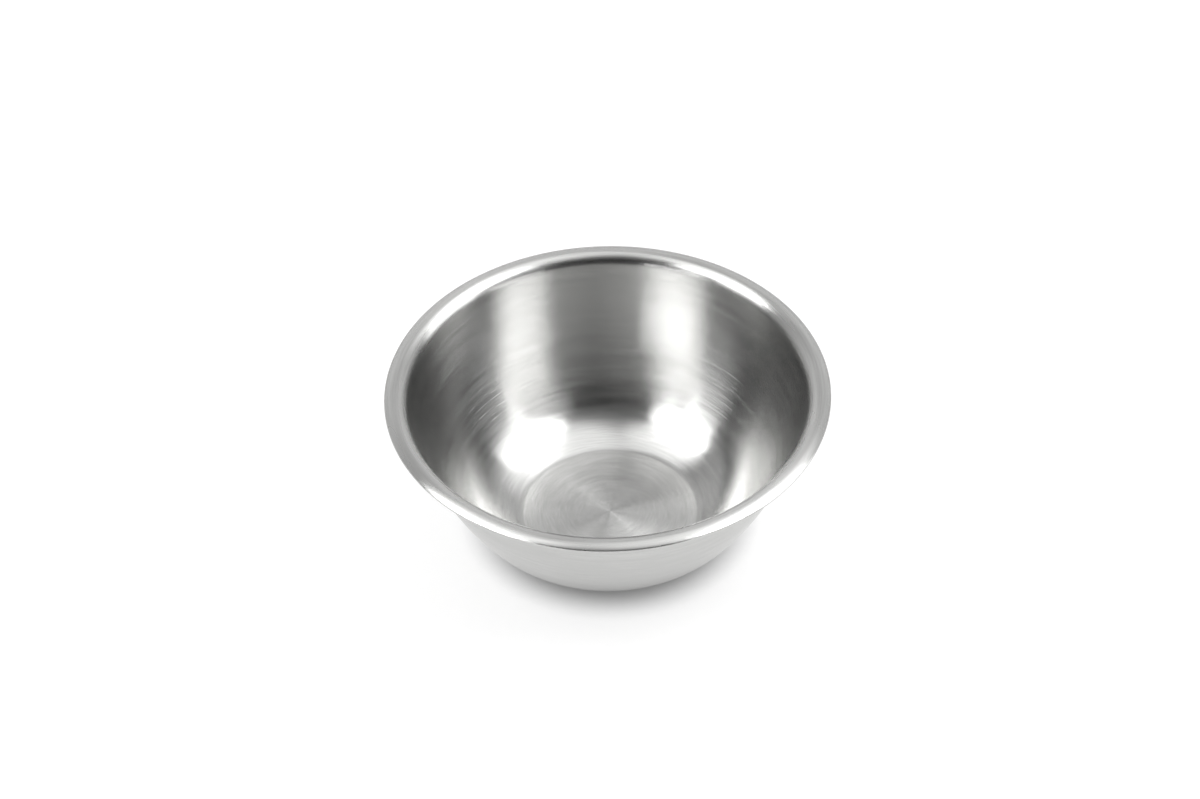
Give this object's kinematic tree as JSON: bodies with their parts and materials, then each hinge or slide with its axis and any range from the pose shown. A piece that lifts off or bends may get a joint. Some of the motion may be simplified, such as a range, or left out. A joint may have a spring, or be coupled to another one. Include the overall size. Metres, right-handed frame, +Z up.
{
  "type": "prep bowl",
  "caption": "Round steel prep bowl with a flat base, a wide round up to a sloping wall that is gently bowed, and a rolled rim with a flat folded hem.",
  "frame": {"origin": "centre of the flat base, on the surface that the bowl stands on", "axes": "+Z up along the bowl's axis of revolution; X and Y are level, and the bowl is the same all round"},
  "size_m": [0.16, 0.16, 0.06],
  "materials": {
    "brushed_steel": "stainless steel spun-brushed in circles round the axis, satin inside, outside and over the rim, with a few coarser brush lines in places"
  },
  "bodies": {
    "root": {"bowl": "brushed_steel"}
  },
  "joints": []
}
